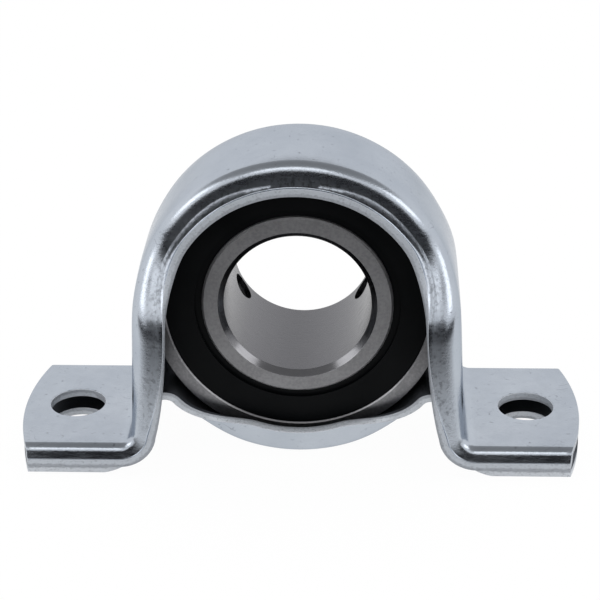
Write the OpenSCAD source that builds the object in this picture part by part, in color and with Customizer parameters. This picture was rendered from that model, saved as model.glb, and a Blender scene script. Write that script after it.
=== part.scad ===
// Two-piece pressed steel pillow block with a self-aligning set-screw ball bearing.
// Z is up, the shaft runs along Y and the two bolt holes lie along X.
// The origin is on the mounting plane, midway between the bolt holes, under the shaft.

/* [Mounting] */
// Distance between the two bolt holes
bolt_spacing = 95; // [93:0.5:110]
// Diameter of each bolt hole
bolt_hole_d = 11.5; // [8:0.5:13]
// Distance from a bolt hole's centre to the tip of its foot
foot_overhang = 11; // [9:0.5:16]
// Depth of the upper shell's feet along the shaft
foot_depth = 38; // [36:0.5:46]
// Height of the cradle's lowest point above the mounting plane
cradle_lift = 0.5; // [0.2:0.1:4]

/* [Pressed shells] */
// Thickness of the sheet steel of both shells
sheet = 1.7; // [1.3:0.05:1.9]
// Radial room between the bearing's ball-shaped outside and the shells
seat_clearance = 0.1; // [0.07:0.01:0.2]
// Length by which each of the dome's lips stands out past the outer ring
dome_reach = 4.5; // [4:0.1:6]
// Depth of the dome's side walls, from its crown down to the lips
dome_depth = 5.4; // [4.5:0.1:6]
// Depth of the legs' side walls
leg_depth = 6.8; // [6:0.1:7.2]
// Depth of the rolled edge along the feet
foot_edge_depth = 2.8; // [2.4:0.05:3]
// Outside radius of the bend between the crown and its side walls
shoulder_r = 2.2; // [2:0.1:2.6]
// Tilt that the dome's crown has where its shoulder bend starts
crown_tilt = 8; // [0:1:12]
// Radius of the hollow bend between the side walls and the lips, at the crown and along the feet
lip_r = 0.3; // [0.2:0.1:0.6]
// Radius to which that hollow opens on its way down to the legs
leg_hollow_r = 2.6; // [2:0.1:3]
// Length of the flat lip outside that bend
lip_flat = 0.1; // [0.1:0.1:0.6]
// Height above the shaft's axis at which the dome starts to flare to the width of the feet
flare_rise = 18; // [14:0.5:22]
// Distance below the shaft's axis at which the legs have the width of the feet
flare_drop = 2.3; // [0:0.1:6]
// Angle by which the legs spread outwards on their way down
leg_splay = 2.5; // [0:0.5:5]
// Radius of the hollow bend between a leg and its foot
foot_bend_r = 2.7; // [2:0.1:4]
// Room between the lower plate and the upper shell's rolled edge
foot_gap = 0.05; // [0.03:0.01:1]
// Room between the nested legs of the two shells
nest_gap = 0.15; // [0.1:0.05:0.4]
// Depth of the lower shell's feet along the shaft
lower_foot_depth = 36.4; // [34:0.2:40]
// Depth of the lower shell's legs along the shaft
lower_leg_depth = 28; // [26:0.5:29]
// Length by which each of the cradle's rims stands out past the outer ring
cradle_reach = 3.7; // [3.4:0.1:4.2]
// Depth of the cradle's side walls
cradle_depth = 5.6; // [4.5:0.1:6]
// Radius of the hollow under each hump of the lower shell
hump_r = 2.5; // [2:0.1:3.5]
// Underside radius of the bend between the lower shell's legs and feet
lower_bend_r = 9.4; // [8.5:0.1:10]

/* [Bearing] */
// Diameter of the shaft bore
bore_d = 30; // [25:0.25:31]
// Diameter of the ball-shaped outside of the outer ring
bearing_od = 62; // [61:0.5:66]
// Width of the outer ring
outer_width = 16; // [15:0.25:16.5]
// Chamfer at the outer corners of the outer ring
outer_chamfer = 0.2; // [0.1:0.1:0.6]
// Length by which the inner ring runs past the outer ring at the back
collar_length = 14; // [12:0.5:20]
// Chamfer at both ends of the bore
bore_chamfer = 1.2; // [0.3:0.1:1.5]
// Diameter of the balls, as a share of the room between the bore and the outside
ball_share = 0.2977; // [0.28:0.001:0.31]
// Room between a ball and each raceway
ball_gap = 0.03; // [0.02:0.01:0.06]
// Thickness of a seal at its rim
seal_thickness = 1.2; // [1:0.1:1.4]
// Depth of a seal's face below the outer ring's face
seal_recess = 0.3; // [0.1:0.1:0.5]
// Width of the recessed lip around the inner ring
seal_lip_width = 1.5; // [1:0.1:2]
// Thickness of the steel core bonded to a seal's inner side
core_thickness = 0.4; // [0.3:0.1:0.5]
// Running clearance between pieces that turn or slide on each other
running_gap = 0.05; // [0.03:0.01:0.1]
// Clearance between pieces that are pressed or riveted together
joint_gap = 0.02; // [0.01:0.01:0.05]
// Thickness of the cage's steel ribbon
cage_sheet = 0.8; // [0.6:0.1:1]
// Radial width of the cage's ribbon
cage_band = 2.8; // [2.4:0.1:3.2]
// Diameter of the cage's rivets
rivet_d = 1.2; // [0.8:0.1:1.4]

/* [Set screws] */
// Diameter of the set screws
screw_d = 6; // [5:0.5:7]
// Length of the set screws
screw_length = 6; // [5:0.5:8]
// Angle between the two set screws
screw_angle = 120; // [60:5:150]
// Distance from the inner ring's rear face to the set screws' axes
screw_inset = 5; // [4:0.25:6.5]
// Depth of the backed-out set screws below the bore's surface
screw_backoff = 1.2; // [0.5:0.1:1.5]

/* [Hidden] */
$fn = 96;

// Number of balls, each of which is a piece of its own
ball_count = 9;

// Finishes
zinc = [0.72, 0.75, 0.79];
ground_steel = [0.50, 0.50, 0.51];
ball_steel = [0.62, 0.63, 0.65];
ribbon_steel = [0.55, 0.54, 0.52];
black_rubber = [0.06, 0.07, 0.08];
black_oxide = [0.13, 0.13, 0.14];

// Length that cutting tools run past the faces they cut
over = 1;

// Shell sizes
dome_width = outer_width + 2 * dome_reach;
cradle_width = outer_width + 2 * cradle_reach;
seat_r = bearing_od / 2 + seat_clearance;
shell_r = seat_r + sheet;
shaft_height = cradle_lift + shell_r;
foot_tip_r = bolt_spacing / 2 + foot_overhang;
foot_top = sheet + foot_gap + sheet + foot_edge_depth;

// Steps along each bend of the shells
dome_steps = 16;
leg_steps = 4;
bend_steps = 5;
cradle_steps = 12;
hump_steps = 7;
crown_steps = 3;
shoulder_steps = 4;
lip_steps = 2;

// Steepest tilt of the side walls, and the tilt of the lips outside them
dome_wall_tilt = 86;
leg_wall_tilt = 82;
cradle_wall_tilt = 76;
foot_edge_tilt = 76;
lip_tilt = 0;

// The shoulder bends of the legs and the cradle are wider than the dome's
leg_shoulder_r = 2.2 * shoulder_r;
cradle_shoulder_r = 1.1 * shoulder_r;

// The feet's shoulder bend is tight, with this radius on its inside
tight_bend = 0.1;
foot_shoulder_r = sheet + tight_bend;

// The feet's rolled edge is steep, as far as its two bends have room
foot_wall_room = acos(max(-1, 1 - foot_edge_depth / (foot_shoulder_r + lip_r)));
foot_wall_tilt = min(foot_edge_tilt, foot_wall_room);

// Heights between which the shell flares from the dome's width to the feet's
flare_top = shaft_height + flare_rise;
flare_end = shaft_height - flare_drop;

// Angle from the dome's top at which the legs have the width of the feet
flare_end_angle = acos(-flare_drop / shell_r);

// Largest share of a section's depth that its two bends take
bend_room = 0.95;

// Share of the crown's half width that is flat before it starts to bend softly
soft_start = 0.25;

// Angle from the cradle's bottom at which its side walls start to fade towards the humps
cradle_fade_start = 18;

// Part of a flat strip's half width that has no stations across it
flat_core = 0.6;

// Bearing sizes: the raceways and seals follow the balls, which run midway between bore and outside
ball_d = ball_share * (bearing_od - bore_d);
ball_r = ball_d / 2;
bore_r = bore_d / 2;
pitch_r = (bore_d + bearing_od) / 4;
inner_groove_depth = 0.245 * ball_r;
outer_groove_depth = 0.46 * ball_r;
inner_r = pitch_r - ball_r + inner_groove_depth;
half_width = outer_width / 2;
outer_face_r = sqrt(pow(bearing_od / 2, 2) - pow(half_width, 2)) - outer_chamfer;
groove_conformity = 0.52;
groove_r = groove_conformity * ball_d;
outer_land_r = pitch_r + ball_r - outer_groove_depth;
seal_seat_depth = 0.28 * ball_r;
seal_r = outer_land_r + seal_seat_depth;
seal_face = half_width - seal_recess;
seal_back = seal_face - seal_thickness;
seal_chamfer = 0.15;
seat_chamfer = 0.25;
lip_face = seal_face - 0.6 * seal_thickness;
core_cover = 0.4;
core_inner_r = inner_r + seal_lip_width + core_cover;
core_outer_r = seal_r - core_cover;
collar_end = half_width + collar_length;
edge_chamfer = 0.4;
pocket_r = ball_r + 2 * running_gap;
rivet_r = rivet_d / 2;
rivet_head_chamfer = 0.2;
rivet_head_r = min(1.7 * rivet_r, cage_band / 2 - rivet_head_chamfer);
rivet_head = 0.5;
screw_r = screw_d / 2;
screw_y = collar_end - screw_inset;
socket_af = screw_d / 2;
socket_depth = screw_length / 2;
cup_r = 0.55 * screw_r;
cup_depth = 0.3 * cup_r;

// Form of a hat section: half width, depth, shoulder radius, hollow radius, tilt of the wall,
// tilt of the lip, length of the flat lip and tilt of the crown where its shoulder starts
dome_form = [dome_width / 2, dome_depth, shoulder_r, lip_r, dome_wall_tilt, lip_tilt, lip_flat, crown_tilt];
leg_form = [
    foot_depth / 2, leg_depth, leg_shoulder_r, leg_hollow_r, leg_wall_tilt, leg_wall_tilt, lip_flat, 0
];
foot_form = [foot_depth / 2, foot_edge_depth, foot_shoulder_r, lip_r, foot_wall_tilt, lip_tilt, lip_flat, 0];
cradle_form = [
    cradle_width / 2, cradle_depth, cradle_shoulder_r, lip_r, cradle_wall_tilt, cradle_wall_tilt, lip_flat, 0
];

// Outer surface of half a hat section, from its middle to the cut edge.
// Each entry is [distance from the middle, depth, tilt]; the wall is as long as the depth asks.
function hat_half(form) =
    let (
        half = form[0],
        depth = form[1],
        tilt = form[4],
        rim_tilt = form[5],
        flat = form[6],
        soft = form[7],
        full_drop = form[2] * (cos(soft) - cos(tilt)) + form[3] * (cos(rim_tilt) - cos(tilt)),
        fit = min(1, bend_room * depth / full_drop),
        shoulder = fit * form[2],
        hollow = fit * form[3],
        bends_reach = shoulder * (sin(tilt) - sin(soft)) + hollow * (sin(tilt) - sin(rim_tilt)),
        drop = fit * full_drop + flat * sin(rim_tilt),
        reach = bends_reach + flat * cos(rim_tilt),
        soft_share = soft * PI / 180 * (1 - soft_start) / 3,
        crown = (half - reach - (depth - drop) / tan(tilt)) / (1 - soft_share / tan(tilt)),
        soft_drop = soft_share * crown,
        wall = (depth - drop - soft_drop) / sin(tilt),
        shoulder_centre = [crown - shoulder * sin(soft), soft_drop + shoulder * cos(soft)],
        wall_end = shoulder_centre + shoulder * [sin(tilt), -cos(tilt)] + wall * [cos(tilt), sin(tilt)],
        hollow_centre = wall_end + hollow * [sin(tilt), -cos(tilt)]
    )
    concat(
        [for (k = [0:crown_steps - 1]) let (t = k / crown_steps)
            [crown * (soft_start + (1 - soft_start) * t), soft_drop * pow(t, 3), soft * t * t]],
        [for (k = [0:shoulder_steps]) let (a = soft + (tilt - soft) * k / shoulder_steps)
            [shoulder_centre.x + shoulder * sin(a), shoulder_centre.y - shoulder * cos(a), a]],
        [for (k = [0:lip_steps]) let (a = tilt + (rim_tilt - tilt) * k / lip_steps)
            [hollow_centre.x - hollow * sin(a), hollow_centre.y + hollow * cos(a), a]],
        [[half, depth, rim_tilt]]
    );

// The same number of entries along a flat strip
function flat_half(half, count) =
    [for (k = [1:count]) [half * (flat_core + (1 - flat_core) * k / count), 0, 0]];

// Closed outline of a sheet section: outside from one edge to the other, then back along the inside
function sheet_outline(half_section) =
    let (
        last = len(half_section) - 1,
        outside = [for (e = half_section) [e[0], e[1]]],
        inside = [for (e = half_section) [e[0] - sheet * sin(e[2]), e[1] + sheet * cos(e[2])]]
    )
    concat(
        [for (i = [last:-1:0]) [-outside[i].x, outside[i].y]],
        outside,
        [for (i = [last:-1:0]) inside[i]],
        [for (i = [0:last]) [-inside[i].x, inside[i].y]]
    );

// A station of a strip is [x, z, direction of its outward normal, section outline]
function mirrored_stations(half) = concat(
    [for (i = [len(half) - 1:-1:1]) [-half[i][0], half[i][1], 180 - half[i][2], half[i][3]]],
    half
);

function reversed(list) = [for (i = [len(list) - 1:-1:0]) list[i]];

// Solid strip lofted through its stations, which are passed with the outside on the right
module strip(stations) {
    size = len(stations[0][3]);
    last = len(stations) - 1;
    points = [for (s = stations) for (p = s[3]) [s[0] - p.y * cos(s[2]), p.x, s[1] - p.y * sin(s[2])]];
    sides = [for (i = [0:last - 1]) for (j = [0:size - 1])
        let (a = i * size + j, b = i * size + (j + 1) % size)
        each [[a, b + size, b], [a, a + size, b + size]]];
    first_cap = [for (j = [0:size / 2 - 2])
        let (k = size - 1 - j)
        each [[j, j + 1, k - 1], [j, k - 1, k]]];
    last_cap = [for (f = first_cap) [for (i = [2:-1:0]) f[i] + last * size]];
    polyhedron(points = points, faces = concat(sides, first_cap, last_cap), convexity = 8);
}

// Upper shell: dome, spread legs and feet, followed along the crown's outside
upper_bend_z = foot_top + foot_bend_r;
upper_bend_drop = shaft_height - upper_bend_z;
upper_bend_x = (shell_r + foot_bend_r + upper_bend_drop * sin(leg_splay)) / cos(leg_splay);
leg_normal = [cos(leg_splay), sin(leg_splay)];
upper_leg_top = [0, shaft_height] + shell_r * leg_normal;
upper_leg_end = [upper_bend_x, upper_bend_z] - foot_bend_r * leg_normal;

function within_one(k) = min(1, max(0, k));
function eased(k) = let (t = within_one(k)) t * t * (3 - 2 * t);

// The section changes from the dome's to the legs', and then ever faster to the feet's.
// Both bend radii, which are the third and fourth of the form's sizes, start to open at the dome's top:
// the shoulder's with the height, and the hollow's with the angle from the top.
function upper_outline(z) =
    let (
        flare = eased((flare_top - z) / (flare_top - flare_end)),
        opening = eased((shaft_height + shell_r - z) / (shell_r + flare_drop)),
        from_top = acos(min(1, max(-1, (z - shaft_height) / shell_r))),
        hollowing = eased(from_top / flare_end_angle),
        fade = pow(within_one((flare_end - z) / (flare_end - foot_top)), 2),
        change = [flare, flare, opening, hollowing, flare, flare, flare, flare],
        form = [for (i = [0:len(change) - 1])
            dome_form[i] + change[i] * (leg_form[i] - dome_form[i]) + fade * (foot_form[i] - leg_form[i])]
    )
    sheet_outline(hat_half(form));

function upper_station(x, z, direction) = [x, z, direction, upper_outline(z)];

upper_half = concat(
    [for (i = [0:dome_steps]) let (a = 90 + (leg_splay - 90) * i / dome_steps)
        upper_station(shell_r * cos(a), shaft_height + shell_r * sin(a), a)],
    [for (i = [1:leg_steps]) let (p = upper_leg_top + (upper_leg_end - upper_leg_top) * i / leg_steps)
        upper_station(p.x, p.y, leg_splay)],
    [for (i = [1:bend_steps]) let (a = leg_splay + (90 - leg_splay) * i / bend_steps)
        upper_station(upper_bend_x - foot_bend_r * cos(a), upper_bend_z - foot_bend_r * sin(a), a)],
    [upper_station(foot_tip_r + over, foot_top, 90)]
);

// Lower shell: cradle, humps, nested legs and feet, followed along the underside
cradle_section = hat_half(cradle_form);
cradle_outline = sheet_outline(cradle_section);
strip_entries = len(cradle_section);
lower_leg_reach = shell_r - 2 * sheet - nest_gap;
hump_angle = leg_splay + asin((lower_leg_reach - hump_r) / (shell_r + hump_r));
hump_centre = [0, shaft_height] + (shell_r + hump_r) * [sin(hump_angle), -cos(hump_angle)];
lower_bend_drop = shaft_height - lower_bend_r;
lower_bend_x = (lower_leg_reach + lower_bend_r + lower_bend_drop * sin(leg_splay)) / cos(leg_splay);

function lower_outline(half, bead) =
    (1 - bead) * sheet_outline(flat_half(half, strip_entries)) + bead * cradle_outline;

// Share of the cradle's side walls that is left at an angle from its bottom
function bead_left(a) = eased((hump_angle - a) / (hump_angle - cradle_fade_start));

lower_half = concat(
    [for (i = [0:cradle_steps])
        let (a = hump_angle * i / cradle_steps, outline = lower_outline(cradle_width / 2, bead_left(a)))
        [shell_r * sin(a), shaft_height - shell_r * cos(a), a - 90, outline]],
    [for (i = [1:hump_steps])
        let (
            k = i / hump_steps,
            a = hump_angle - 90 + (leg_splay - 90 - hump_angle) * k,
            half = (cradle_width + (lower_leg_depth - cradle_width) * k) / 2
        )
        [hump_centre.x - hump_r * cos(a), hump_centre.y - hump_r * sin(a), a, lower_outline(half, 0)]],
    [for (i = [0:bend_steps])
        let (
            k = i / bend_steps,
            a = leg_splay - 180 + (90 - leg_splay) * k,
            half = (lower_leg_depth + (lower_foot_depth - lower_leg_depth) * k) / 2
        )
        [lower_bend_x + lower_bend_r * cos(a), lower_bend_r * (1 + sin(a)), a, lower_outline(half, 0)]],
    [[foot_tip_r + over, 0, -90, lower_outline(lower_foot_depth / 2, 0)]]
);

module bolt_holes() {
    for (side = [-1, 1])
        translate([side * bolt_spacing / 2, 0, -over])
            cylinder(d = bolt_hole_d, h = foot_top + 2 * over);
}

// A shell keeps what lies inside the rounded foot tips
module trimmed_shell(stations) {
    difference() {
        intersection() {
            strip(stations);
            translate([0, 0, -over]) cylinder(r = foot_tip_r, h = shaft_height + shell_r + 2 * over);
        }
        bolt_holes();
    }
}

module upper_shell() {
    color(zinc) trimmed_shell(reversed(mirrored_stations(upper_half)));
}

module lower_shell() {
    color(zinc) trimmed_shell(mirrored_stations(lower_half));
}

// Places a shape turned about Z on the shaft's axis, with its Z towards the back
module on_shaft() {
    translate([0, 0, shaft_height]) rotate([-90, 0, 0]) children();
}

// Turns a shape made for the back (1) to the front (-1)
module facing(direction) {
    if (direction > 0) children();
    else mirror([0, 0, 1]) children();
}

// Turned ring between two radii and two distances along the shaft
module turned_ring(inside_r, outside_r, from, to) {
    rotate_extrude()
        translate([inside_r, from]) square([outside_r - inside_r, to - from]);
}

// Raceway groove, as the solid that it removes
module raceway(centre_r) {
    rotate_extrude() translate([centre_r, 0]) circle(r = groove_r);
}

module outer_ring() {
    color(ground_steel) on_shaft() difference() {
        intersection() {
            sphere(d = bearing_od);
            rotate_extrude() polygon([
                [0, -half_width],
                [outer_face_r, -half_width],
                [outer_face_r + half_width, 0],
                [outer_face_r, half_width],
                [0, half_width]
            ]);
        }
        translate([0, 0, -half_width - over]) cylinder(r = outer_land_r, h = outer_width + 2 * over);
        raceway(pitch_r + ball_r + ball_gap - groove_r);
        for (side = [0, 180])
            rotate([side, 0, 0])
                union() {
                    translate([0, 0, seal_back - joint_gap]) cylinder(r = seal_r, h = outer_width);
                    translate([0, 0, half_width - seat_chamfer])
                        cylinder(r1 = seal_r, r2 = seal_r + 2 * seat_chamfer, h = 2 * seat_chamfer);
                }
    }
}

module inner_ring() {
    color(ground_steel) difference() {
        on_shaft() difference() {
            rotate_extrude() polygon([
                [bore_r + bore_chamfer, -half_width],
                [inner_r - edge_chamfer, -half_width],
                [inner_r, -half_width + edge_chamfer],
                [inner_r, collar_end - edge_chamfer],
                [inner_r - edge_chamfer, collar_end],
                [bore_r + bore_chamfer, collar_end],
                [bore_r, collar_end - bore_chamfer],
                [bore_r, -half_width + bore_chamfer]
            ]);
            raceway(pitch_r - ball_r - ball_gap + groove_r);
        }
        for (side = [-1, 1]) along_screw(side) cylinder(d = screw_d, h = inner_r + over);
    }
}

// Points Z outwards along a set screw; side is -1 for the left one and 1 for the right one
module along_screw(side) {
    translate([0, screw_y, shaft_height]) rotate([0, 180 - side * screw_angle / 2, 0]) children();
}

module set_screw(side) {
    tip = bore_r + screw_backoff;
    body_r = screw_r - running_gap;
    color(black_oxide) along_screw(side) translate([0, 0, tip]) difference() {
        rotate_extrude() polygon([
            [0, cup_depth],
            [cup_r, 0],
            [body_r, body_r - cup_r],
            [body_r, screw_length - edge_chamfer],
            [body_r - edge_chamfer, screw_length],
            [0, screw_length]
        ]);
        translate([0, 0, screw_length - socket_depth])
            cylinder(d = socket_af / cos(30), h = socket_depth + over, $fn = 6);
    }
}

module at_balls(offset_angle = 0) {
    for (i = [1:ball_count]) at_ball(i, offset_angle) children();
}

// Ball 1 is at the top
module at_ball(i, offset_angle = 0) {
    rotate([0, 0, -90 + offset_angle + 360 * (i - 1) / ball_count]) translate([pitch_r, 0, 0]) children();
}

module ball(i) {
    color(ball_steel) on_shaft() at_ball(i) sphere(d = ball_d);
}

// One half of the ribbon cage: flat lands between the balls, domed over them
module cage_half(direction) {
    color(ribbon_steel) on_shaft() facing(direction) difference() {
        intersection() {
            union() {
                turned_ring(pitch_r - cage_band / 2, pitch_r + cage_band / 2, joint_gap / 2, cage_sheet);
                at_balls() sphere(r = pocket_r + cage_sheet);
            }
            turned_ring(pitch_r - cage_band / 2, pitch_r + cage_band / 2, joint_gap / 2, ball_d);
        }
        at_balls() sphere(r = pocket_r);
        at_balls(180 / ball_count) cylinder(r = rivet_r + joint_gap, h = ball_d);
    }
}

module cage_front() { cage_half(-1); }
module cage_rear() { cage_half(1); }

module cage_rivets() {
    head_seat = cage_sheet + joint_gap;
    color(ribbon_steel) on_shaft() at_balls(180 / ball_count) rotate_extrude() polygon([
        [0, -head_seat - rivet_head],
        [rivet_head_r - rivet_head_chamfer, -head_seat - rivet_head],
        [rivet_head_r, -head_seat - rivet_head + rivet_head_chamfer],
        [rivet_head_r, -head_seat],
        [rivet_r, -head_seat],
        [rivet_r, head_seat],
        [rivet_head_r, head_seat],
        [rivet_head_r, head_seat + rivet_head - rivet_head_chamfer],
        [rivet_head_r - rivet_head_chamfer, head_seat + rivet_head],
        [0, head_seat + rivet_head]
    ]);
}

// Rubber seal with a thin recessed lip that runs on the inner ring, and a pocket for its steel core
module seal(direction) {
    color(black_rubber) on_shaft() facing(direction) rotate_extrude() polygon([
        [inner_r + running_gap, seal_back],
        [core_inner_r - joint_gap, seal_back],
        [core_inner_r - joint_gap, seal_back + core_thickness + joint_gap],
        [core_outer_r + joint_gap, seal_back + core_thickness + joint_gap],
        [core_outer_r + joint_gap, seal_back],
        [seal_r - joint_gap, seal_back],
        [seal_r - joint_gap, seal_face - seal_chamfer],
        [seal_r - joint_gap - seal_chamfer, seal_face],
        [inner_r + seal_lip_width, seal_face],
        [inner_r + seal_lip_width, lip_face],
        [inner_r + running_gap, lip_face]
    ]);
}

module seal_core(direction) {
    color(ribbon_steel) on_shaft() facing(direction)
        turned_ring(core_inner_r, core_outer_r, seal_back, seal_back + core_thickness);
}

upper_shell();
lower_shell();
outer_ring();
inner_ring();
cage_front();
cage_rear();
cage_rivets();
for (i = [1:ball_count]) ball(i);
seal(-1);  // front_seal
seal_core(-1);  // front_seal_core
seal(1);  // rear_seal
seal_core(1);  // rear_seal_core
set_screw(-1);  // set_screw_left
set_screw(1);  // set_screw_right
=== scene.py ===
import math

import bmesh
import bpy
import numpy as np
from mathutils import Matrix, Vector


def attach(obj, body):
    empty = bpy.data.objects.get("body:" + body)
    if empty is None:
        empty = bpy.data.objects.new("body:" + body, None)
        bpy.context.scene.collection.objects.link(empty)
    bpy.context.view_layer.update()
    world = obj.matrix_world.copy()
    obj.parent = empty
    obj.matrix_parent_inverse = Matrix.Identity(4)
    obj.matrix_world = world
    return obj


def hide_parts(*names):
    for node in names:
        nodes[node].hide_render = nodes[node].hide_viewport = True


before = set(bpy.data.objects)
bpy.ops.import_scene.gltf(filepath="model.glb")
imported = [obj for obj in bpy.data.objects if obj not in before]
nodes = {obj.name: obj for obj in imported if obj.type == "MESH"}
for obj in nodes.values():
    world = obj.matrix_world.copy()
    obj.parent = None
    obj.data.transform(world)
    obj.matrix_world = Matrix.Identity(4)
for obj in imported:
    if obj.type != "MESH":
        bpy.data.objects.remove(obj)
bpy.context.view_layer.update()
scene = bpy.context.scene
scene.view_settings.view_transform = "Standard"

MM = 0.001


# Camera at the photograph's viewing angle

CAMERA_AT = Vector((0.01622, -0.33382, 0.19296))
CAMERA_TARGET = Vector((0.000179, 0.0, 0.030863))
CAMERA_ROLL = math.radians(-0.872)
CAMERA_LENS = 108.0
CAMERA_SENSOR = 36.0
CAMERA_NEAR = 0.01


def make_camera():
    data = bpy.data.cameras.new("camera")
    data.lens = CAMERA_LENS
    data.sensor_width = CAMERA_SENSOR
    data.sensor_fit = "HORIZONTAL"
    data.clip_start = CAMERA_NEAR
    camera = bpy.data.objects.new("camera", data)
    scene.collection.objects.link(camera)
    back = (CAMERA_AT - CAMERA_TARGET).normalized()
    right = Vector((0, 0, 1)).cross(back).normalized()
    up = back.cross(right)
    turned_right = right * math.cos(CAMERA_ROLL) + up * math.sin(CAMERA_ROLL)
    turned_up = up * math.cos(CAMERA_ROLL) - right * math.sin(CAMERA_ROLL)
    rotation = Matrix((turned_right, turned_up, back)).transposed().to_4x4()
    camera.matrix_world = Matrix.Translation(CAMERA_AT) @ rotation
    scene.camera = camera


# Material helpers

class Nodes:
    """Short way to add and join the nodes of one material."""

    def __init__(self, name):
        self.material = bpy.data.materials.new(name)
        self.material.use_nodes = True
        self.tree = self.material.node_tree
        self.shader = self.tree.nodes["Principled BSDF"]
        self.place = self.add("ShaderNodeTexCoord").outputs["Object"]

    def add(self, kind, **values):
        node = self.tree.nodes.new(kind)
        for key, value in values.items():
            setattr(node, key, value)
        return node

    def join(self, source, target):
        self.tree.links.new(source, target)

    def set(self, **values):
        for key, value in values.items():
            self.shader.inputs[key.replace("_", " ")].default_value = value

    def scaled(self, vector, scale):
        node = self.add("ShaderNodeMapping")
        node.inputs["Scale"].default_value = scale
        self.join(vector, node.inputs["Vector"])
        return node.outputs["Vector"]

    def noise(self, vector, scale, detail=3.0, rough=0.55):
        node = self.add("ShaderNodeTexNoise")
        node.inputs["Scale"].default_value = scale
        node.inputs["Detail"].default_value = detail
        node.inputs["Roughness"].default_value = rough
        self.join(vector, node.inputs["Vector"])
        return node.outputs["Fac"]

    def ramp(self, value, low, high, to_low=0.0, to_high=1.0):
        node = self.add("ShaderNodeMapRange")
        node.inputs["From Min"].default_value = low
        node.inputs["From Max"].default_value = high
        node.inputs["To Min"].default_value = to_low
        node.inputs["To Max"].default_value = to_high
        self.join(value, node.inputs["Value"])
        return node.outputs["Result"]

    def math(self, operation, a, b=None):
        node = self.add("ShaderNodeMath", operation=operation)
        for socket, value in zip(node.inputs, (a, b)):
            if value is None:
                continue
            if isinstance(value, (int, float)):
                socket.default_value = value
            else:
                self.join(value, socket)
        return node.outputs["Value"]

    def mix(self, factor, a, b):
        node = self.add("ShaderNodeMix", data_type="RGBA")
        self.join(factor, node.inputs[0])
        for socket, value in ((node.inputs[6], a), (node.inputs[7], b)):
            if isinstance(value, tuple):
                socket.default_value = (*value, 1.0)
            else:
                self.join(value, socket)
        return node.outputs[2]

    def bump(self, height, depth, strength=1.0):
        node = self.add("ShaderNodeBump")
        node.inputs["Strength"].default_value = strength
        node.inputs["Distance"].default_value = depth
        self.join(height, node.inputs["Height"])
        if self.shader.inputs["Normal"].is_linked:
            self.join(self.shader.inputs["Normal"].links[0].from_socket, node.inputs["Normal"])
        self.join(node.outputs["Normal"], self.shader.inputs["Normal"])

    def contour(self, height, width):
        """Thin lines where a noise passes its middle."""
        return self.ramp(self.math("ABSOLUTE", self.math("SUBTRACT", height, 0.5)), 0.0, width, 1.0, 0.0)

    def around_shaft(self, turns):
        """Vector of radius, place along the shaft and a share of the angle, for marks left by turning."""
        parts = self.add("ShaderNodeSeparateXYZ")
        self.join(self.place, parts.inputs[0])
        x = parts.outputs["X"]
        z = self.math("SUBTRACT", parts.outputs["Z"], SHAFT_HEIGHT * MM)
        square = self.math("ADD", self.math("MULTIPLY", x, x), self.math("MULTIPLY", z, z))
        angle = self.math("MULTIPLY", self.math("ARCTAN2", x, z), turns)
        vector = self.add("ShaderNodeCombineXYZ")
        self.join(self.math("SQRT", square), vector.inputs[0])
        self.join(parts.outputs["Y"], vector.inputs[1])
        self.join(angle, vector.inputs[2])
        return vector.outputs[0]


# Tone of dirt in scratches, and how strongly each kind of mark shows
SOILED = (0.10, 0.105, 0.12)
SPECK_SHARE = 0.35
SCRATCH_SHARE = 0.4
SCUFF_SHARE = 0.55
WORN_ROUGH = 0.22
PLATE_TINT = (0.72, 0.74, 0.77, 1)


def zinc_plate(name, dark, light, rough):
    """Plated sheet: cloudy tone, fine grain, dents and scratches, and scuffs near its cut edges."""
    n = Nodes(name)
    n.set(Metallic=1.0, Specular_Tint=PLATE_TINT)
    cloud = n.noise(n.place, scale=70, detail=4)
    tone = n.mix(n.ramp(cloud, 0.3, 0.7), dark, light)
    specks = n.ramp(n.noise(n.place, scale=900, detail=2), 0.66, 0.76)
    tone = n.mix(n.math("MULTIPLY", specks, SPECK_SHARE), tone, SOILED)
    strands = n.noise(n.scaled(n.place, (1, 1.6, 1)), scale=130, detail=1)
    patches = n.ramp(n.noise(n.place, scale=210, detail=2), 0.60, 0.68)
    scratches = n.math("MULTIPLY", n.contour(strands, width=0.006), patches)
    tone = n.mix(n.math("MULTIPLY", scratches, SCRATCH_SHARE), tone, SOILED)
    wear = n.add("ShaderNodeAttribute", attribute_name="wear").outputs["Fac"]
    blots = n.noise(n.scaled(n.place, (1300, 1300, 900)), scale=1, detail=3, rough=0.7)
    blots = n.ramp(blots, 0.50, 0.64)
    scuffs = n.math("MULTIPLY", blots, n.ramp(wear, 0.25, 0.75))
    tone = n.mix(n.math("MULTIPLY", scuffs, SCUFF_SHARE), tone, SOILED)
    n.join(tone, n.shader.inputs["Base Color"])
    drawn = n.noise(n.scaled(n.place, (500, 500, 2600)), scale=1, detail=3)
    finish = n.math("ADD", n.ramp(cloud, 0.3, 0.7, rough - 0.03, rough + 0.03),
                    n.ramp(drawn, 0.3, 0.7, -0.03, 0.05))
    n.join(n.math("ADD", finish, n.math("MULTIPLY", wear, WORN_ROUGH)), n.shader.inputs["Roughness"])
    n.bump(n.noise(n.place, scale=2400, detail=3), depth=0.00004, strength=0.6)
    n.bump(n.noise(n.place, scale=160, detail=2), depth=0.0002, strength=0.12)
    n.bump(scratches, depth=0.00003, strength=0.2)
    n.bump(scuffs, depth=0.00004, strength=0.3)
    n.bump(n.math("MULTIPLY", n.noise(n.place, scale=1700, detail=3), wear), depth=0.0001, strength=0.1)
    return n.material


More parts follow.
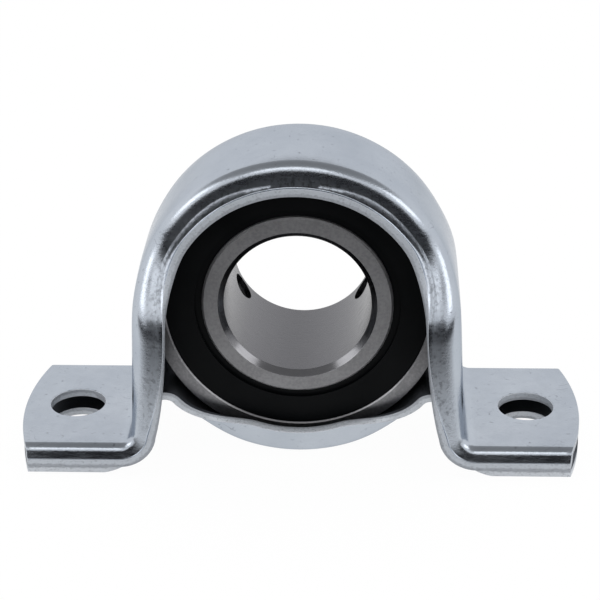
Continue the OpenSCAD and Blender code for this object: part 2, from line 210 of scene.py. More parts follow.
def sheared_edge(name, burnished, torn_tone, metallic):
    """Cut edge of the sheet: a burnished band next to the outside, then torn metal with fine marks."""
    n = Nodes(name)
    n.set(Metallic=metallic)
    shear = n.add("ShaderNodeAttribute", attribute_name="shear").outputs["Fac"]
    marks = n.noise(n.place, scale=1500, detail=4)
    torn = n.ramp(n.math("ADD", shear, n.ramp(marks, 0.3, 0.7, -0.12, 0.12)), 0.55, 0.7)
    tone = n.mix(torn, burnished, torn_tone)
    tone = n.mix(n.ramp(n.noise(n.place, scale=2600, detail=3), 0.55, 0.7, 0.0, 0.45), tone, SOILED)
    n.join(tone, n.shader.inputs["Base Color"])
    n.join(n.ramp(torn, 0, 1, 0.42, 0.6), n.shader.inputs["Roughness"])
    n.bump(marks, depth=0.00006, strength=0.5)
    return n.material


# Bore and chamfer of the inner ring: darker tones, which are painted shade in the bore and at its mouth,
# finishes and how softly they meet, in millimetres
BORE_SHADE_TONE = (0.135, 0.135, 0.145)
BORE_ROUGH = 0.27
CHAMFER_SHADE_TONE = (0.21, 0.21, 0.22)
CHAMFER_ROUGH = 0.17
MEETING_WIDTH = 0.1
BORE_SLACK = 0.02


def ground_steel(name, dark, light, rough):
    """Turned and ground ring. The bore and its chamfer are smoother than the faces, and their darker tones
    are painted shade.
    """
    n = Nodes(name)
    n.set(Metallic=1.0)
    turning = n.around_shaft(0.0006)
    lines = n.noise(turning, scale=9000, detail=2)
    parts = n.add("ShaderNodeSeparateXYZ")
    n.join(turning, parts.inputs[0])
    radius = parts.outputs["X"]
    grain = n.math("ADD", n.ramp(n.noise(n.place, scale=120, detail=3), 0.3, 0.7, -0.3, 0.7),
                   n.ramp(n.noise(n.place, scale=1600, detail=3), 0.3, 0.7, -0.4, 1.0))
    tone = n.mix(grain, dark, light)
    chamfer_end = (BORE_EDGE_R - MEETING_WIDTH) * MM
    in_chamfer = n.ramp(radius, chamfer_end, BORE_EDGE_R * MM, 1.0, 0.0)
    in_bore = n.ramp(radius, (BORE_R + BORE_SLACK) * MM, (BORE_R + MEETING_WIDTH) * MM, 1.0, 0.0)
    # Painted shade: the bore and its chamfer get darker tones than the faces
    tone = n.mix(in_bore, n.mix(in_chamfer, tone, CHAMFER_SHADE_TONE), BORE_SHADE_TONE)
    n.join(tone, n.shader.inputs["Base Color"])
    finish = n.ramp(radius, chamfer_end, BORE_EDGE_R * MM, CHAMFER_ROUGH, rough)
    finish = n.math("ADD", finish, n.math("MULTIPLY", in_bore, BORE_ROUGH - CHAMFER_ROUGH))
    n.join(n.math("ADD", finish, n.ramp(lines, 0.3, 0.7, -0.06, 0.06)), n.shader.inputs["Roughness"])
    n.bump(lines, depth=0.000012, strength=0.35)
    n.bump(n.noise(n.place, scale=1800, detail=3), depth=0.00001, strength=0.3)
    return n.material


RUBBER_DARK = (0.001, 0.0015, 0.002)
RUBBER_LIGHT = (0.0025, 0.003, 0.0035)


def seal_rubber():
    """Black rubber with a faint bloom, a fine grain and moulded rings."""
    n = Nodes("seal_rubber")
    grain = n.noise(n.place, scale=2600, detail=4)
    bloom = n.noise(n.place, scale=90, detail=4)
    tone = n.mix(n.ramp(bloom, 0.35, 0.7), RUBBER_DARK, RUBBER_LIGHT)
    n.join(tone, n.shader.inputs["Base Color"])
    n.join(n.ramp(grain, 0.3, 0.7, 0.42, 0.58), n.shader.inputs["Roughness"])
    n.set(Specular_IOR_Level=0.1)
    n.bump(n.noise(n.around_shaft(0.002), scale=3500, detail=2), depth=0.00002, strength=0.2)
    n.bump(grain, depth=0.00001, strength=0.3)
    return n.material


def worked_steel(name, dark, light, rough_low, rough_high):
    """Steel of the pieces inside the bearing and of the set screws."""
    n = Nodes(name)
    n.set(Metallic=1.0)
    cloud = n.noise(n.place, scale=500, detail=3)
    n.join(n.mix(n.ramp(cloud, 0.3, 0.7), dark, light), n.shader.inputs["Base Color"])
    grain = n.noise(n.place, scale=1500, detail=2)
    n.join(n.ramp(grain, 0.3, 0.7, rough_low, rough_high), n.shader.inputs["Roughness"])
    n.bump(n.noise(n.place, scale=3000, detail=2), depth=0.00001, strength=0.3)
    return n.material


# Sizes in millimetres and angles in degrees, shared with the CAD model

BORE_R = 15.0
BORE_EDGE_R = BORE_R + 1.2
SHEET = 1.7
SEAT_R = 31.1
SHELL_R = SEAT_R + SHEET
CRADLE_CLEAR = 0.5
SHAFT_HEIGHT = CRADLE_CLEAR + SHELL_R
BOLT_X = 47.5
BOLT_HOLE_R = 5.75
FOOT_TIP_R = 58.5
FOOT_EDGE_DEPTH = 2.8
FOOT_GAP = 0.05
FOOT_TOP = 2 * SHEET + FOOT_GAP + FOOT_EDGE_DEPTH
DOME_HALF = 12.5
DOME_DEPTH = 5.4
DOME_WALL_TILT = 86
CROWN_TILT = 8
LEG_DEPTH = 6.8
LEG_WALL_TILT = 82
FOOT_HALF = 19.0
SHOULDER_R = 2.2
LEG_SHOULDER_R = 2.2 * SHOULDER_R
FOOT_SHOULDER_R = SHEET + 0.1
CRADLE_SHOULDER_R = 1.1 * SHOULDER_R
LIP_R = 0.3
LEG_HOLLOW_R = 2.6
LEG_SPLAY = 2.5
FLARE_TOP = SHAFT_HEIGHT + 18
FLARE_END = SHAFT_HEIGHT - 2.3
BEND_ROOM = 0.95
FOOT_BEND_R = 2.7
NEST_GAP = 0.15
LOWER_FOOT_HALF = 18.2
LOWER_LEG_HALF = 14.0
CRADLE_HALF = 11.7
CRADLE_DEPTH = 5.6
CRADLE_WALL_TILT = 76
HUMP_R = 2.5
LOWER_BEND_R = 9.4
CRADLE_FADE_START = 18
SOFT_START = 0.25

# Fine form that the scene adds: a press line in the dome's wall, with its place as a share of the way
# down and its run as angles from the top, the angle at which the hollow starts to open, and the lips
# and corners of the sheet
PRESS_LINE = 0.3
PRESS_LINE_LOW = 0.9
PRESS_LINE_HIGH = 0.62
PRESS_LINE_START = 8
PRESS_LINE_FULL = 34
HOLLOW_START = 48
LIP_FLAT = 0.15
FOOT_CORNER_R = 0.1
FOOT_WALL_TILT = 72

# Forms of the sheet's sections: half width, depth, shoulder radius, hollow radius, tilt of the wall,
# tilt of the lip, length of the flat lip, tilt of the crown where its shoulder starts, size of the press
# line in the wall and its place down the wall
SHOULDER_BEND = 2
HOLLOW_BEND = 3
LINE_SIZE = 8
LINE_PLACE = 9
DOME_FORM = np.array([DOME_HALF, DOME_DEPTH, SHOULDER_R, LIP_R, DOME_WALL_TILT,
                      0, LIP_FLAT, CROWN_TILT, 0, PRESS_LINE_LOW])
LEG_FORM = np.array([FOOT_HALF, LEG_DEPTH, LEG_SHOULDER_R, LEG_HOLLOW_R, LEG_WALL_TILT,
                     LEG_WALL_TILT, LIP_FLAT, 0, 0, PRESS_LINE_HIGH])
FOOT_FORM = np.array([FOOT_HALF, FOOT_EDGE_DEPTH, FOOT_SHOULDER_R, FOOT_CORNER_R, FOOT_WALL_TILT,
                      0, LIP_FLAT, 0, 0, PRESS_LINE_HIGH])
CRADLE_FORM = np.array([CRADLE_HALF, CRADLE_DEPTH, CRADLE_SHOULDER_R, LIP_R, CRADLE_WALL_TILT,
                        CRADLE_WALL_TILT, LIP_FLAT, 0, 0, PRESS_LINE_HIGH])


def sind(a):
    return math.sin(math.radians(a))


def cosd(a):
    return math.cos(math.radians(a))


def asind(v):
    return math.degrees(math.asin(v))


def acosd(v):
    return math.degrees(math.acos(min(1.0, max(-1.0, v))))


# Pressed shells: sections of sheet, swept along the outside of each shell

CROWN_STEPS = 12
SHOULDER_STEPS = 10
WALL_STEPS = 4
HOLLOW_STEPS = 6
FLAT_CORE = 0.6
EDGE_ROUND = 0.1
BURR_ROUND = 0.1
CUT_STEPS = 3

# Shares of the way across the sheet's thickness at which the cut edge's points lie
ROUND_SHARE = 0.05
FIRST_CUT_SHARE = 0.1
LAST_CUT_SHARE = 0.95


def within_one(k):
    return min(1.0, max(0.0, k))


def eased(k):
    t = within_one(k)
    return t * t * (3 - 2 * t)


def hat_half(form):
    """Outside of half a hat section, as [distance from the middle, depth, tilt], to the cut edge.
    The crown bends softly to the tilt soft before its shoulder starts."""
    half, depth, shoulder, hollow, tilt, rim_tilt, flat, soft, line, line_place = form
    full_drop = shoulder * (cosd(soft) - cosd(tilt)) + hollow * (cosd(rim_tilt) - cosd(tilt))
    fit = min(1.0, BEND_ROOM * depth / full_drop)
    shoulder *= fit
    hollow *= fit
    drop = fit * full_drop + flat * sind(rim_tilt) + line
    bends = shoulder * (sind(tilt) - sind(soft)) + hollow * (sind(tilt) - sind(rim_tilt))
    reach = bends + flat * cosd(rim_tilt) + line
    slope = cosd(tilt) / sind(tilt)
    soft_share = math.radians(soft) * (1 - SOFT_START) / 3
    crown = (half - reach - slope * (depth - drop)) / (1 - soft_share * slope)
    soft_drop = soft_share * crown
    wall = (depth - drop - soft_drop) / sind(tilt)
    rows = []
    for k in range(CROWN_STEPS):
        t = max(0.0, (k / CROWN_STEPS - SOFT_START) / (1 - SOFT_START))
        rows.append([crown * k / CROWN_STEPS, soft_drop * t ** 3, soft * t ** 2])
    corner = (crown - shoulder * sind(soft), soft_drop + shoulder * cosd(soft))
    for k in range(SHOULDER_STEPS + 1):
        a = soft + (tilt - soft) * k / SHOULDER_STEPS
        rows.append([corner[0] + shoulder * sind(a), corner[1] - shoulder * cosd(a), a])
    start = rows[-1][:2]
    for k in range(1, WALL_STEPS + 1):
        t = line_place * wall * k / WALL_STEPS
        rows.append([start[0] + t * cosd(tilt), start[1] + t * sind(tilt), tilt])
    rows.append([rows[-1][0] + line, rows[-1][1] + line, tilt])
    end = (start[0] + wall * cosd(tilt) + line, start[1] + wall * sind(tilt) + line)
    centre = (end[0] + hollow * sind(tilt), end[1] - hollow * cosd(tilt))
    for k in range(HOLLOW_STEPS + 1):
        a = tilt + (rim_tilt - tilt) * k / HOLLOW_STEPS
        rows.append([centre[0] - hollow * sind(a), centre[1] + hollow * cosd(a), a])
    rows.append([half, depth, rim_tilt])
    return np.array(rows)


def flat_half(half, count):
    """A flat strip with as many entries as a hat section."""
    bent = count - CROWN_STEPS
    rows = [[half * FLAT_CORE * k / CROWN_STEPS, 0, 0] for k in range(CROWN_STEPS)]
    rows += [[half * (FLAT_CORE + (1 - FLAT_CORE) * k / (bent - 1)), 0, 0] for k in range(bent)]
    return np.array(rows)


def sheet_outline(rows):
    """Closed outline of the sheet: outside, rounded cut edge, inside, and the same on the other side.
    Returns the points and, for each, its share of the way across the sheet's thickness."""
    tilt = np.radians(rows[:, 2])
    outside = rows[:, :2].copy()
    inside = outside + SHEET * np.stack([-np.sin(tilt), np.cos(tilt)], axis=1)
    along = np.array([math.cos(tilt[-1]), math.sin(tilt[-1])])
    inward = np.array([-math.sin(tilt[-1]), math.cos(tilt[-1])])
    tip = outside[-1].copy()
    outside[-1] = tip - EDGE_ROUND * along
    inside[-1] = tip + SHEET * inward - BURR_ROUND * along
    edge = [tip + EDGE_ROUND * (1 - sind(45)) * (inward - along)]
    shares = [ROUND_SHARE]
    for k in range(CUT_STEPS + 1):
        t = k / CUT_STEPS
        edge.append(tip + (EDGE_ROUND + (SHEET - EDGE_ROUND - BURR_ROUND) * t) * inward)
        shares.append(FIRST_CUT_SHARE + (LAST_CUT_SHARE - FIRST_CUT_SHARE) * t)
    right = np.concatenate([outside, np.array(edge), inside[::-1]])
    right_shares = [0.0] * len(outside) + shares + [1.0] * len(inside)
    left = right[1:-1][::-1] * np.array([-1, 1])
    return np.concatenate([right, left]), np.array(right_shares + right_shares[1:-1][::-1])


def place(outline, x, z, direction):
    """Puts a section at a station: its depth runs against the outward direction in the X-Z plane."""
    out = np.empty((len(outline), 3))
    out[:, 0] = x - outline[:, 1] * cosd(direction)
    out[:, 1] = outline[:, 0]
    out[:, 2] = z - outline[:, 1] * sind(direction)
    return out


def mirrored(half_rings):
    """The whole run of sections from the half at +X, mirrored at the middle."""
    return [ring * np.array([-1, 1, 1]) for ring in half_rings[:0:-1]] + half_rings


def foot_rings(outline, start, z, direction):
    """Sections along a flat foot, each line of which ends on the round tip."""
    first = place(outline, start, z, direction)
    room = np.sqrt(FOOT_TIP_R ** 2 - first[:, 1] ** 2) - first[:, 0]
    rings = []
    for k in range(1, FOOT_STEPS + 1):
        ring = first.copy()
        ring[:, 0] += room * k / FOOT_STEPS
        rings.append(ring)
    return rings


DOME_STEPS = 60
LEG_STEPS = 18
BEND_STEPS = 12
FOOT_STEPS = 14
CRADLE_STEPS = 44
HUMP_STEPS = 16
LOWER_BEND_STEPS = 18


def upper_rings():
    def outline(z):
        change = np.full(len(DOME_FORM), eased((FLARE_TOP - z) / (FLARE_TOP - FLARE_END)))
        change[SHOULDER_BEND] = eased((SHAFT_HEIGHT + SHELL_R - z) / (SHAFT_HEIGHT + SHELL_R - FLARE_END))
        from_top = acosd((z - SHAFT_HEIGHT) / SHELL_R)
        change[HOLLOW_BEND] = eased((from_top - HOLLOW_START) / (flare_angle - HOLLOW_START))
        dome = DOME_FORM.copy()
        line_share = eased((from_top - PRESS_LINE_START) / (PRESS_LINE_FULL - PRESS_LINE_START))
        dome[LINE_SIZE] = PRESS_LINE * line_share
        dome[LINE_PLACE] += (PRESS_LINE_HIGH - PRESS_LINE_LOW) * line_share
        fade = within_one((FLARE_END - z) / (FLARE_END - FOOT_TOP)) ** 2
        form = dome + change * (LEG_FORM - dome) + fade * (FOOT_FORM - LEG_FORM)
        return sheet_outline(hat_half(form))[0]

    flare_angle = acosd((FLARE_END - SHAFT_HEIGHT) / SHELL_R)
    _, shares = sheet_outline(hat_half(FOOT_FORM))
    bend_z = FOOT_TOP + FOOT_BEND_R
    bend_x = (SHELL_R + FOOT_BEND_R + (SHAFT_HEIGHT - bend_z) * sind(LEG_SPLAY)) / cosd(LEG_SPLAY)
    rings = []
    for i in range(DOME_STEPS + 1):
        a = 90 + (LEG_SPLAY - 90) * i / DOME_STEPS
        z = SHAFT_HEIGHT + SHELL_R * sind(a)
        rings.append(place(outline(z), SHELL_R * cosd(a), z, a))
    normal = np.array([cosd(LEG_SPLAY), sind(LEG_SPLAY)])
    top = np.array([0, SHAFT_HEIGHT]) + SHELL_R * normal
    end = np.array([bend_x, bend_z]) - FOOT_BEND_R * normal
    for i in range(1, LEG_STEPS + 1):
        p = top + (end - top) * i / LEG_STEPS
        rings.append(place(outline(p[1]), p[0], p[1], LEG_SPLAY))
    for i in range(1, BEND_STEPS + 1):
        a = LEG_SPLAY + (90 - LEG_SPLAY) * i / BEND_STEPS
        z = bend_z - FOOT_BEND_R * sind(a)
        rings.append(place(outline(z), bend_x - FOOT_BEND_R * cosd(a), z, a))
    rings += foot_rings(outline(FOOT_TOP), bend_x, FOOT_TOP, 90)
    return mirrored(rings), shares


def lower_rings():
    section = hat_half(CRADLE_FORM)
    cradle, shares = sheet_outline(section)
    reach = SHELL_R - 2 * SHEET - NEST_GAP
    hump_angle = LEG_SPLAY + asind((reach - HUMP_R) / (SHELL_R + HUMP_R))
    hump_x = (SHELL_R + HUMP_R) * sind(hump_angle)
    hump_z = SHAFT_HEIGHT - (SHELL_R + HUMP_R) * cosd(hump_angle)
    bend_x = (reach + LOWER_BEND_R + (SHAFT_HEIGHT - LOWER_BEND_R) * sind(LEG_SPLAY)) / cosd(LEG_SPLAY)

    def outline(half, bead):
        flat, _ = sheet_outline(flat_half(half, len(section)))
        return (1 - bead) * flat + bead * cradle

    def bead_left(a):
        return eased((hump_angle - a) / (hump_angle - CRADLE_FADE_START))

    rings = []
    for i in range(CRADLE_STEPS + 1):
        a = hump_angle * i / CRADLE_STEPS
        rings.append(place(outline(CRADLE_HALF, bead_left(a)),
                           SHELL_R * sind(a), SHAFT_HEIGHT - SHELL_R * cosd(a), a - 90))
    for i in range(1, HUMP_STEPS + 1):
        k = i / HUMP_STEPS
        a = hump_angle - 90 + (LEG_SPLAY - 90 - hump_angle) * k
        half = CRADLE_HALF + (LOWER_LEG_HALF - CRADLE_HALF) * k
        rings.append(place(outline(half, 0), hump_x - HUMP_R * cosd(a), hump_z - HUMP_R * sind(a), a))
    for i in range(LOWER_BEND_STEPS + 1):
        k = i / LOWER_BEND_STEPS
        a = LEG_SPLAY - 180 + (90 - LEG_SPLAY) * k
        half = LOWER_LEG_HALF + (LOWER_FOOT_HALF - LOWER_LEG_HALF) * k
        rings.append(place(outline(half, 0),
                           bend_x + LOWER_BEND_R * cosd(a), LOWER_BEND_R * (1 + sind(a)), a))
    rings += foot_rings(outline(LOWER_FOOT_HALF, 0), bend_x, 0, -90)
    return mirrored(rings), shares


# Material slots of the shells: plated outside, cut edge, and inside faces, which get painted shade
PLATED = 0
CUT = 1
SHADED_INSIDE = 2
HOLE_SEGMENTS = 96
HOLE_CHAMFER = 0.15
SAME_POINT = 0.002
CUT_BEVEL = 0.15
BEVEL_SEGMENTS = 2
BEVEL_ANGLE = 55
CUTTER_CLEAR = 1


def bolt_hole_cutter(low, high):
    """Cutter for both bolt holes of a plate between two heights, which breaks the edges of the holes.
    Its walls become cut edges of the sheet."""
    wide = BOLT_HOLE_R + HOLE_CHAMFER + CUTTER_CLEAR
    profile = [(low - CUTTER_CLEAR, wide, 1.0), (low + HOLE_CHAMFER, BOLT_HOLE_R, 1 - FIRST_CUT_SHARE),
               (high - HOLE_CHAMFER, BOLT_HOLE_R, FIRST_CUT_SHARE), (high + CUTTER_CLEAR, wide, 0.0)]
    bm = bmesh.new()
    shear = bm.verts.layers.float.new("shear")
    for side in (-1, 1):
        rings = []
        for z, radius, share in profile:
            ring = []
            for k in range(HOLE_SEGMENTS):
                a = 360 * k / HOLE_SEGMENTS
                spot = (side * BOLT_X + radius * cosd(a), radius * sind(a), z)
                ring.append(bm.verts.new(Vector(spot) * MM))
                ring[-1][shear] = share
            rings.append(ring)
        for lower, upper in zip(rings, rings[1:]):
            for k in range(HOLE_SEGMENTS):
                n = (k + 1) % HOLE_SEGMENTS
                bm.faces.new((lower[k], lower[n], upper[n], upper[k]))
        bm.faces.new(rings[0][::-1])
        bm.faces.new(rings[-1])
    for f in bm.faces:
        f.material_index = CUT
    mesh = bpy.data.meshes.new("bolt_hole_cutter")
    bm.to_mesh(mesh)
    bm.free()
    return bpy.data.objects.new("bolt_hole_cutter", mesh)


def face_kind(a, b):
    """Which material a strip between two shares of the sheet's thickness has."""
    if a == b == 0:
        return PLATED
    return SHADED_INSIDE if a == b == 1 else CUT


def shell_faces(ring_count, shares):
    """Faces between the sections and across both ends, each with its material."""
    count = len(shares)
    right = count // 2 + 1
    edge = [j for j in range(right) if 0 < shares[j] < 1]
    first_edge, last_edge = edge[0], edge[-1]
    faces = []
    kinds = []
    for i in range(ring_count - 1):
        for j in range(count):
            n = (j + 1) % count
            a, b = i * count, (i + 1) * count
            faces.append((a + j, a + n, b + n, b + j))
            kinds.append(face_kind(shares[j], shares[n]))
    for base in (0, (ring_count - 1) * count):
        for side in (1, -1):
            def at(k):
                return base + (side * k) % count
            for j in range(first_edge - 1):
                faces.append((at(j), at(j + 1), at(right - 2 - j), at(right - 1 - j)))
            faces.append(tuple(at(k) for k in range(first_edge - 1, last_edge + 2)))
    kinds += [CUT] * (len(faces) - len(kinds))
    return faces, kinds


# Distances from the cut edge at which wear is greatest and ends, and the rise above the feet to full wear
WEAR_PEAK = 0.8
WEAR_REACH = 6.0
WEAR_RISE = 8.0


def wall_wear(ring, shares):
    """How worn each point of a section is: most a little way in from the cut edge, nothing on the crown,
    on the feet or under the cradle."""
    reach = int(np.argmax(shares > 0))
    steps = np.linalg.norm(np.diff(ring[:reach], axis=0), axis=1)
    from_edge = np.append(np.cumsum(steps[::-1])[::-1], 0.0)
    height_share = within_one((ring[0, 2] - FOOT_TOP) / WEAR_RISE)
    rise = np.clip(from_edge / WEAR_PEAK, 0, 1)
    fall = np.clip(1 - from_edge / WEAR_REACH, 0, 1)
    worn = height_share * rise * fall
    wear = np.zeros(len(shares))
    wear[:reach] = worn
    wear[len(shares) - reach + 1:] = worn[:0:-1]
    return wear


def make_shell(name, node, rings, shares, hole_low, hole_high, materials):
    """Mesh of one pressed shell with its bolt holes, in place of the CAD node."""
    faces, kinds = shell_faces(len(rings), shares)
    mesh = bpy.data.meshes.new(name)
    mesh.from_pydata([tuple(p) for p in np.concatenate(rings) * MM], [], faces)
    wear = np.concatenate([wall_wear(ring, shares) for ring in rings])
    for attribute, values in (("shear", np.tile(shares, len(rings))), ("wear", wear)):
        layer = mesh.attributes.new(attribute, "FLOAT", "POINT")
        layer.data.foreach_set("value", values.astype(np.float32))
    mesh.polygons.foreach_set("material_index", kinds)
    bm = bmesh.new()
    bm.from_mesh(mesh)
    bmesh.ops.remove_doubles(bm, verts=bm.verts, dist=SAME_POINT * MM)
    bmesh.ops.recalc_face_normals(bm, faces=bm.faces)
    bm.to_mesh(mesh)
    bm.free()
    for m in materials:
        mesh.materials.append(m)
    shell = bpy.data.objects.new(name, mesh)
    scene.collection.objects.link(shell)
    cutter = bolt_hole_cutter(hole_low, hole_high)
    for m in materials:
        cutter.data.materials.append(m)
    scene.collection.objects.link(cutter)
    cut = shell.modifiers.new("bolt_holes", "BOOLEAN")
    cut.operation = "DIFFERENCE"
    cut.solver = "EXACT"
    cut.object = cutter
    bpy.context.view_layer.update()
    shell.data = bpy.data.meshes.new_from_object(
        shell.evaluated_get(bpy.context.evaluated_depsgraph_get()))
    shell.data.name = name
    shell.modifiers.clear()
    bpy.data.objects.remove(cutter)
    shell.data.polygons.foreach_set("use_smooth", [True] * len(shell.data.polygons))
    bevel = shell.modifiers.new("cut_corners", "BEVEL")
    bevel.width = CUT_BEVEL * MM
    bevel.segments = BEVEL_SEGMENTS
    bevel.limit_method = "ANGLE"
    bevel.angle_limit = math.radians(BEVEL_ANGLE)
    normals = shell.modifiers.new("flat_faces_first", "WEIGHTED_NORMAL")
    normals.keep_sharp = True
    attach(shell, "housing")
    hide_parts(node)


# Set screws with a rolled thread, a cup point and a hexagon socket

SCREW_R = 2.95
SCREW_LENGTH = 6.0
SCREW_TIP = 16.2
SCREW_Y = 17.0
SCREW_SLANT = 60
THREAD_PITCH = 0.75
THREAD_DEPTH = 0.4
THREAD_STEPS = 8
THREAD_ROOT = 0.12
THREAD_FLANK = 0.7
SCREW_SEGMENTS = 72
SOCKET_HALF = 1.5
SOCKET_DEPTH = 3.0
SOCKET_CHAMFER = 0.15
SOCKET_POINT = 0.25
CUP_R = 1.65
CUP_DEPTH = 0.5
CUP_LIP_SHARE = 0.92
CUP_LIP_DEPTH = 0.06
END_CHAMFER = 0.4
SHARP_ANGLE = 35


def thread_radius(angle, z):
    """Radius of the screw's side at an angle (in turns) and height, with the thread run out at both ends."""
    phase = (z / THREAD_PITCH - angle) % 1.0
    crest = 1 - abs(2 * phase - 1)
    height = within_one((crest - THREAD_ROOT) / THREAD_FLANK)
    limit = min(CUP_R + z, SCREW_R - END_CHAMFER + (SCREW_LENGTH - z))
    return min(SCREW_R - THREAD_DEPTH * (1 - height), limit)


def hexagon_radius(angle):
    within = (angle * 360 + 30) % 60 - 30
    return SOCKET_HALF / cosd(within)


def make_set_screw(name, node, body, side, material):
    """Mesh of one set screw, in place of the CAD node."""
    steps = int(round(SCREW_LENGTH / THREAD_PITCH * THREAD_STEPS))
    socket_floor = SCREW_LENGTH - SOCKET_DEPTH
    columns = []
    for i in range(SCREW_SEGMENTS):
        angle = i / SCREW_SEGMENTS
        column = [(CUP_R / 2, CUP_DEPTH * 3 / 4), (CUP_R * CUP_LIP_SHARE, CUP_LIP_DEPTH), (CUP_R, 0)]
        for k in range(1, steps):
            z = SCREW_LENGTH * k / steps
            column.append((thread_radius(angle, z), z))
        column.append((SCREW_R - END_CHAMFER, SCREW_LENGTH))
        edge = hexagon_radius(angle)
        column.append((edge + SOCKET_CHAMFER, SCREW_LENGTH))
        column.append((edge, SCREW_LENGTH - SOCKET_CHAMFER))
        column.append((edge, socket_floor))
        column.append((edge / 2, socket_floor - SOCKET_CHAMFER))
        columns.append(column)
    rows = len(columns[0])
    outward = Vector((side * sind(SCREW_SLANT), 0, -cosd(SCREW_SLANT)))
    across = Vector((0, 1, 0))
    third = outward.cross(across)
    axis_at = Vector((0, SCREW_Y, SHAFT_HEIGHT))

    def point(angle, radius, z):
        spot = axis_at + outward * (SCREW_TIP + z)
        return (spot + (across * math.cos(angle) + third * math.sin(angle)) * radius) * MM

    points = [point(2 * math.pi * i / SCREW_SEGMENTS, r, z)
              for i, column in enumerate(columns) for r, z in column]
    points.append(point(0, 0, CUP_DEPTH))
    points.append(point(0, 0, socket_floor - SOCKET_POINT))
    cup, floor = len(points) - 2, len(points) - 1
    faces = []
    for i in range(SCREW_SEGMENTS):
        a, b = i * rows, (i + 1) % SCREW_SEGMENTS * rows
        faces += [(a + k, b + k, b + k + 1, a + k + 1) for k in range(rows - 1)]
        faces.append((cup, b, a))
        faces.append((floor, a + rows - 1, b + rows - 1))
    mesh = bpy.data.meshes.new(name)
    mesh.from_pydata(points, [], faces)
    bm = bmesh.new()
    bm.from_mesh(mesh)
    bmesh.ops.recalc_face_normals(bm, faces=bm.faces)
    bm.to_mesh(mesh)
    bm.free()
    mesh.polygons.foreach_set("use_smooth", [True] * len(mesh.polygons))
    mesh.set_sharp_from_angle(angle=math.radians(SHARP_ANGLE))
    mesh.materials.append(material)
    screw = bpy.data.objects.new(name, mesh)
    scene.collection.objects.link(screw)
    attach(screw, body)
    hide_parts(node)


def paint(name, material):
    """Gives a CAD node its material."""
    data = nodes[name].data
    data.materials.clear()
    data.materials.append(material)


# Floor, card, surroundings and lights, in metres

STAGE_ROUGH = 0.9
FLOOR_SIZE = 6
FLOOR_DROP = 0.0002
FLOOR_TONE = (0.86, 0.86, 0.86, 1)
FLOOR_WHITE = 0.97
FLOOR_MIRRORED = 0.8


def make_floor():
    """Pale floor. The camera sees it almost white, and reflections see it a little darker."""
    bpy.ops.mesh.primitive_plane_add(size=FLOOR_SIZE, location=(0, 0, -FLOOR_DROP))
    floor = bpy.context.object
    floor.name = "floor"
    n = Nodes("pale_floor")
    n.set(Base_Color=FLOOR_TONE, Roughness=STAGE_ROUGH, Specular_IOR_Level=0.1)
    path = n.add("ShaderNodeLightPath")
    mirrored_ray = n.math("MAXIMUM", path.outputs["Is Glossy Ray"], path.outputs["Is Transmission Ray"])
    seen = n.math("MULTIPLY", path.outputs["Is Camera Ray"], FLOOR_WHITE)
    seen = n.math("MAXIMUM", seen, n.math("MULTIPLY", mirrored_ray, FLOOR_MIRRORED))
    white = n.add("ShaderNodeEmission")
    white.inputs["Strength"].default_value = 1.0
    mix = n.add("ShaderNodeMixShader")
    n.join(seen, mix.inputs[0])
    n.join(n.shader.outputs[0], mix.inputs[1])
    n.join(white.outputs[0], mix.inputs[2])
    n.join(mix.outputs[0], n.tree.nodes["Material Output"].inputs["Surface"])
    floor.data.materials.append(n.material)


# Dark card, painted shade seen only in reflections: its size, fades and tone
CARD_HALF = 1.2
CARD_NEAR = 0.03
CARD_DARK = 0.075
CARD_FAR = 1.5
CARD_TOP = 0.5
CARD_SOFT = 0.3
CARD_SHADE_TONE = (0.018, 0.018, 0.02, 1)


def make_reflected_shade_card():
    """Dark card that lies on the floor in front of the object and bends up far behind the camera.
    Only reflections show it, so it is painted shade: reflections see a dark floor in front of the object and
    a dark wall far behind the camera. Its near edge and its top edge fade out."""
    mesh = bpy.data.meshes.new("dark_card")
    lines = ((-CARD_NEAR, 0), (-CARD_FAR, 0), (-CARD_FAR, CARD_TOP))
    points = [(side * CARD_HALF, y, z) for y, z in lines for side in (-1, 1)]
    mesh.from_pydata(points, [], [(0, 2, 3, 1), (2, 4, 5, 3)])
    card = bpy.data.objects.new("dark_card", mesh)
    scene.collection.objects.link(card)
    n = Nodes("dark_card")
    n.set(Base_Color=CARD_SHADE_TONE, Roughness=STAGE_ROUGH, Specular_IOR_Level=0.0)
    parts = n.add("ShaderNodeSeparateXYZ")
    n.join(n.place, parts.inputs[0])
    near = n.ramp(parts.outputs["Y"], -CARD_NEAR, -CARD_DARK)
    top = n.ramp(parts.outputs["Z"], CARD_SOFT, CARD_TOP, 1.0, 0.0)
    n.join(n.math("MULTIPLY", near, top), n.shader.inputs["Alpha"])
    mesh.materials.append(n.material)
    card.visible_camera = False
    card.visible_diffuse = False
    card.visible_shadow = False
    card.visible_transmission = False


# Brightness of the surroundings by the upward part of the direction: 0 at the horizon, 1 straight up
STUDIO_STOPS = ((0.0, 1.0), (0.52, 1.0), (0.68, 0.40), (1.0, 0.30))
STUDIO_BLUE = 1.01


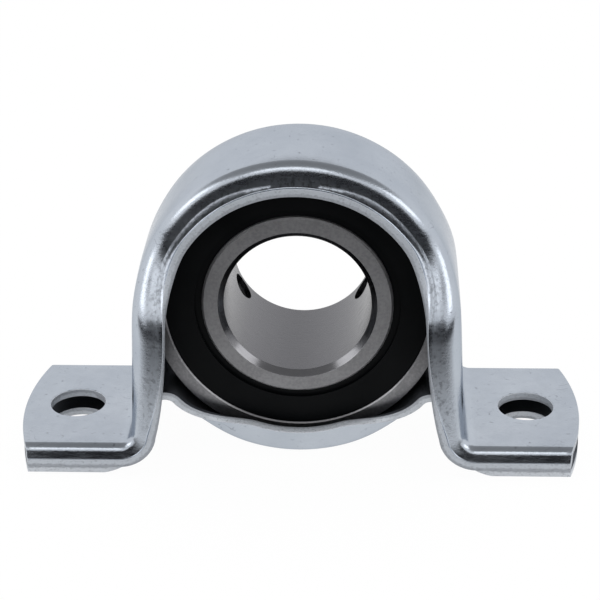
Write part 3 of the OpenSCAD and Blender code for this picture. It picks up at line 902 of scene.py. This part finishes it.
def make_world():
    """Soft studio surroundings: bright near the horizon and darker overhead."""
    world = bpy.data.worlds.new("studio")
    scene.world = world
    world.use_nodes = True
    tree = world.node_tree
    background = tree.nodes["Background"]
    place_node = tree.nodes.new("ShaderNodeTexCoord")
    parts = tree.nodes.new("ShaderNodeSeparateXYZ")
    ramp = tree.nodes.new("ShaderNodeValToRGB")
    tree.links.new(place_node.outputs["Generated"], parts.inputs[0])
    tree.links.new(parts.outputs["Z"], ramp.inputs["Fac"])
    tree.links.new(ramp.outputs["Color"], background.inputs["Color"])
    ramp.color_ramp.elements[0].position = STUDIO_STOPS[0][0]
    ramp.color_ramp.elements[1].position = STUDIO_STOPS[-1][0]
    for position, _ in STUDIO_STOPS[1:-1]:
        ramp.color_ramp.elements.new(position)
    for element, (_, value) in zip(ramp.color_ramp.elements, STUDIO_STOPS):
        element.color = (value, value, value * STUDIO_BLUE, 1)
    background.inputs["Strength"].default_value = 1.0


LIGHT_TARGET = (0, 0, 0.04)


def area_light(name, at, size, power, target=LIGHT_TARGET, glossy=True):
    """Softbox of a width and height, aimed at the object. Glossy means that reflections show it."""
    data = bpy.data.lights.new(name, "AREA")
    data.shape = "RECTANGLE"
    data.size, data.size_y = size
    data.energy = power
    light = bpy.data.objects.new(name, data)
    scene.collection.objects.link(light)
    light.location = at
    aim = Vector(target) - Vector(at)
    light.rotation_euler = aim.to_track_quat("-Z", "Y").to_euler()
    light.visible_glossy = glossy


# The whole scene

BALL_COUNT = 9

make_camera()

zinc = zinc_plate("zinc_plate", dark=(0.43, 0.47, 0.525), light=(0.515, 0.555, 0.61), rough=0.16)
# The sheet's inside faces get a much darker copy of the zinc: painted shade
shaded_inside_zinc = zinc_plate("shaded_inside_zinc", dark=(0.12, 0.13, 0.145), light=(0.18, 0.19, 0.21), rough=0.4)
upper_cut = sheared_edge("upper_cut_edge", burnished=(0.42, 0.45, 0.49), torn_tone=(0.30, 0.32, 0.35),
                         metallic=0.25)
lower_cut = sheared_edge("lower_cut_edge", burnished=(0.56, 0.59, 0.63), torn_tone=(0.40, 0.425, 0.46),
                         metallic=0.3)
# The outer ring's steel is darker than the inner ring's, partly as painted shade of the narrow gap where it
# shows
shaded_outer_steel = ground_steel("shaded_outer_ring_steel", dark=(0.23, 0.23, 0.24), light=(0.30, 0.30, 0.31),
                           rough=0.34)
inner_steel = ground_steel("inner_ring_steel", dark=(0.31, 0.31, 0.32), light=(0.38, 0.38, 0.392),
                           rough=0.62)
rubber = seal_rubber()
ball_steel = worked_steel("ball_steel", dark=(0.50, 0.51, 0.53), light=(0.60, 0.61, 0.63),
                          rough_low=0.06, rough_high=0.12)
cage_steel = worked_steel("cage_steel", dark=(0.36, 0.35, 0.34), light=(0.46, 0.45, 0.43),
                          rough_low=0.3, rough_high=0.45)
core_steel = worked_steel("core_steel", dark=(0.30, 0.30, 0.31), light=(0.38, 0.38, 0.39),
                          rough_low=0.35, rough_high=0.5)
black_oxide = worked_steel("black_oxide", dark=(0.018, 0.018, 0.02), light=(0.04, 0.04, 0.043),
                           rough_low=0.3, rough_high=0.45)

paint("outer_ring", shaded_outer_steel)
paint("inner_ring", inner_steel)
for seal in ("front_seal", "rear_seal"):
    paint(seal, rubber)
    paint(seal + "_core", core_steel)
for part in ("cage_front", "cage_rear", "cage_rivets"):
    paint(part, cage_steel)
for i in range(1, BALL_COUNT + 1):
    paint(f"ball_{i}", ball_steel)

upper, upper_shares = upper_rings()
make_shell("upper_shell_skin", "upper_shell", upper, upper_shares,
           FOOT_TOP - SHEET, FOOT_TOP, [zinc, upper_cut, shaded_inside_zinc])
lower, lower_shares = lower_rings()
make_shell("lower_shell_skin", "lower_shell", lower, lower_shares, 0, SHEET, [zinc, lower_cut, shaded_inside_zinc])
make_set_screw("set_screw_left_skin", "set_screw_left", "left_screw", -1, black_oxide)
make_set_screw("set_screw_right_skin", "set_screw_right", "right_screw", 1, black_oxide)

make_floor()
make_reflected_shade_card()
make_world()
area_light("front_softbox", at=(-0.05, -0.70, 0.65), size=(0.6, 0.3), power=0.7)
for name, side in (("left_softbox", -1), ("right_softbox", 1)):
    area_light(name, at=(side * 0.68, -0.32, 0.42), size=(0.35, 0.35), power=0.5)
area_light("top_softbox", at=(0, 0.15, 0.9), size=(0.9, 0.9), power=6, target=(0, 0, 0), glossy=False)
